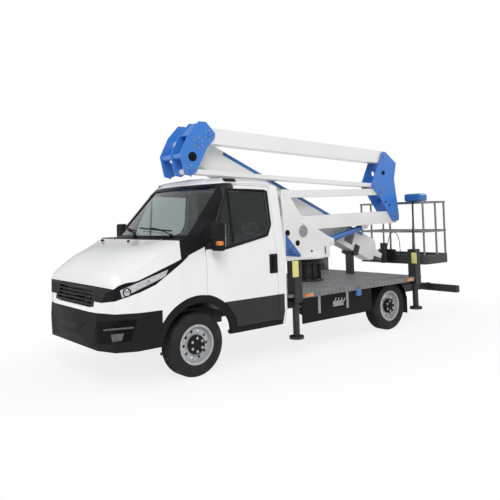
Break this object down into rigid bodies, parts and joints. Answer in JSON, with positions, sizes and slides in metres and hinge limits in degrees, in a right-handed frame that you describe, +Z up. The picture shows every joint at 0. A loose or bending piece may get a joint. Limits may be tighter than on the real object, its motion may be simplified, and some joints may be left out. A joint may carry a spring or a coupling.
{
  "type": "truck-mounted aerial work platform",
  "caption": "white cab-chassis truck with a folding pantograph, telescopic boom, work basket and drop-leg outriggers",
  "frame": {"origin": "bottom centre of the bounding box, on the ground under the middle of the truck's length", "axes": "+X forward, +Y to the truck's left, +Z up"},
  "size_m": [6.468, 2.45, 2.9399],
  "materials": {
    "paint": "gloss white",
    "arm_paint": "satin white",
    "accent": "satin blue",
    "trim": "grained black",
    "lamp": "clear",
    "glass": "clear",
    "frame": "satin black",
    "galvanised": "dull grey",
    "basket_metal": "matt grey",
    "rod": "polished",
    "cloth": "woven",
    "tyre": "matt",
    "wheel": "silver"
  },
  "bodies": {
    "chassis": {"chassis_frame": "frame", "engine": "frame", "fuel_tank": "frame", "front_axle": "frame", "rear_axle": "frame", "cab_floor": "frame", "cab_back": "paint", "cab_roof": "paint", "cab_front": "paint", "cab_sides": "paint", "windscreen": "glass", "wings": "paint", "cladding": "trim", "bumper": "trim", "grille": "trim", "headlamps": "lamp", "tail_lamps": "lamp", "dashboard": "trim", "seats": "cloth", "deck": "galvanised", "side_guards": "trim", "outriggers": "galvanised", "pedestal": "frame", "cradle": "frame", "turret": "arm_paint"},
    "knuckle_left": {"knuckle_left": "frame"},
    "knuckle_right": {"knuckle_right": "frame"},
    "door_left": {"door_left": "paint", "door_glass_left": "glass", "mirror_left": "trim"},
    "door_right": {"door_right": "paint", "door_glass_right": "glass", "mirror_right": "trim"},
    "bonnet": {"bonnet": "paint"},
    "lower_arm": {"lower_arm": "arm_paint"},
    "lower_tie": {"lower_tie": "arm_paint"},
    "lift_barrel": {"lift_barrel": "accent"},
    "lift_rod": {"lift_rod": "rod"},
    "rear_knuckle": {"rear_knuckle": "accent"},
    "upper_arm": {"upper_arm": "arm_paint"},
    "upper_tie": {"upper_tie": "arm_paint"},
    "front_knuckle": {"front_knuckle": "accent"},
    "boom_base": {"boom_base": "arm_paint"},
    "boom_mid": {"boom_mid": "arm_paint"},
    "boom_tip": {"boom_tip": "arm_paint"},
    "basket": {"basket_bracket": "frame", "basket": "basket_metal", "control_box": "accent"},
    "wheel_front_left": {"wheel_front_left": "wheel", "tyre_front_left": "tyre"},
    "wheel_front_right": {"wheel_front_right": "wheel", "tyre_front_right": "tyre"},
    "wheel_rear_left": {"wheel_rear_left": "wheel", "tyre_rear_left": "tyre"},
    "wheel_rear_right": {"wheel_rear_right": "wheel", "tyre_rear_right": "tyre"},
    "leg_front_left": {"leg_front_left": "galvanised"},
    "leg_front_right": {"leg_front_right": "galvanised"},
    "leg_rear_left": {"leg_rear_left": "galvanised"},
    "leg_rear_right": {"leg_rear_right": "galvanised"}
  },
  "joints": [
    {"name": "front_left_wheel", "type": "hinge", "parent": "knuckle_left", "child": "wheel_front_left", "pos_m": [2.186, 0.848, 0.349], "axis": [0, 1, 0], "continuous": true},
    {"name": "front_right_wheel", "type": "hinge", "parent": "knuckle_right", "child": "wheel_front_right", "pos_m": [2.186, -0.848, 0.349], "axis": [0, 1, 0], "continuous": true},
    {"name": "rear_left_wheel", "type": "hinge", "parent": "chassis", "child": "wheel_rear_left", "pos_m": [-1.264, 0.77, 0.349], "axis": [0, 1, 0], "continuous": true},
    {"name": "rear_right_wheel", "type": "hinge", "parent": "chassis", "child": "wheel_rear_right", "pos_m": [-1.264, -0.77, 0.349], "axis": [0, 1, 0], "continuous": true},
    {"name": "steer_left", "type": "hinge", "parent": "chassis", "child": "knuckle_left", "pos_m": [2.186, 0.69, 0.349], "axis": [0, 0, 1], "range_deg": [-35, 35]},
    {"name": "steer_right", "type": "hinge", "parent": "chassis", "child": "knuckle_right", "pos_m": [2.186, -0.69, 0.349], "axis": [0, 0, 1], "range_deg": [-35, 35]},
    {"name": "door_left_hinge", "type": "hinge", "parent": "chassis", "child": "door_left", "pos_m": [2.0735, 1.005, 1], "axis": [0, 0, -1], "range_deg": [0, 70]},
    {"name": "door_right_hinge", "type": "hinge", "parent": "chassis", "child": "door_right", "pos_m": [2.0735, -1.005, 1], "axis": [0, 0, 1], "range_deg": [0, 70]},
    {"name": "bonnet_hinge", "type": "hinge", "parent": "chassis", "child": "bonnet", "pos_m": [2.3935, 0, 1.4895], "axis": [0, -1, 0], "range_deg": [0, 55]},
    {"name": "lower_lift", "type": "hinge", "parent": "chassis", "child": "lower_arm", "pos_m": [-0.174, 0.1225, 1.6], "axis": [0, 1, 0], "range_deg": [0, 65]},
    {"name": "lower_tie_hinge", "type": "hinge", "parent": "chassis", "child": "lower_tie", "pos_m": [0.184, 0.1225, 2.02], "axis": [0, 1, 0], "range_deg": [0, 65]},
    {"name": "rear_knuckle_hinge", "type": "hinge", "parent": "lower_arm", "child": "rear_knuckle", "pos_m": [-2.322, 0.1225, 1.64], "axis": [0, -1, 0], "range_deg": [0, 65]},
    {"name": "upper_arm_hinge", "type": "hinge", "parent": "rear_knuckle", "child": "upper_arm", "pos_m": [-2.07, 0.1225, 2.63], "axis": [0, -1, 0], "range_deg": [0, 65]},
    {"name": "upper_tie_hinge", "type": "hinge", "parent": "rear_knuckle", "child": "upper_tie", "pos_m": [-1.78, 0.1225, 2.165], "axis": [0, -1, 0], "range_deg": [0, 65]},
    {"name": "front_knuckle_hinge", "type": "hinge", "parent": "upper_arm", "child": "front_knuckle", "pos_m": [1.456, 0.1225, 2.775], "axis": [0, 1, 0], "range_deg": [0, 65]},
    {"name": "lift_barrel_hinge", "type": "hinge", "parent": "chassis", "child": "lift_barrel", "pos_m": [-0.735, 0.1225, 1.31], "axis": [0, 1, 0], "range_deg": [0, 73.2]},
    {"name": "lift_rod_slide", "type": "slide", "parent": "lift_barrel", "child": "lift_rod", "axis": [-0.9787, 0, 0.2051], "range_m": [0, 0.66]},
    {"name": "boom_lift", "type": "hinge", "parent": "front_knuckle", "child": "boom_base", "pos_m": [1.621, -0.1175, 2.662], "axis": [0, 1, 0], "range_deg": [0, 80]},
    {"name": "telescope", "type": "slide", "parent": "boom_base", "child": "boom_mid", "axis": [-0.9178, 0, -0.3971], "range_m": [0, 2.6]},
    {"name": "telescope_tip", "type": "slide", "parent": "boom_mid", "child": "boom_tip", "axis": [-0.9178, 0, -0.3971], "range_m": [0, 2.6]},
    {"name": "basket_level", "type": "hinge", "parent": "boom_tip", "child": "basket", "pos_m": [-2.23357, -0.1175, 0.99398], "axis": [0, -1, 0], "range_deg": [0, 80]},
    {"name": "leg_front_left_slide", "type": "slide", "parent": "chassis", "child": "leg_front_left", "axis": [0, 0, -1], "range_m": [0, 0.4]},
    {"name": "leg_front_right_slide", "type": "slide", "parent": "chassis", "child": "leg_front_right", "axis": [0, 0, -1], "range_m": [0, 0.4]},
    {"name": "leg_rear_left_slide", "type": "slide", "parent": "chassis", "child": "leg_rear_left", "axis": [0, 0, -1], "range_m": [0, 0.4]},
    {"name": "leg_rear_right_slide", "type": "slide", "parent": "chassis", "child": "leg_rear_right", "axis": [0, 0, -1], "range_m": [0, 0.4]}
  ],
  "couplings": [
    {"joint": "steer_right", "follows": "steer_left", "ratio": 1},
    {"joint": "lower_tie_hinge", "follows": "lower_lift", "ratio": 1},
    {"joint": "rear_knuckle_hinge", "follows": "lower_lift", "ratio": 1},
    {"joint": "upper_arm_hinge", "follows": "lower_lift", "ratio": 1},
    {"joint": "upper_tie_hinge", "follows": "lower_lift", "ratio": 1},
    {"joint": "front_knuckle_hinge", "follows": "lower_lift", "ratio": 1},
    {"joint": "lift_barrel_hinge", "follows": "lower_lift", "ratio": 1.123},
    {"joint": "lift_rod_slide", "follows": "lower_lift", "m_per_rad": 0.58},
    {"joint": "telescope_tip", "follows": "telescope", "ratio": 1},
    {"joint": "basket_level", "follows": "boom_lift", "ratio": 1}
  ]
}
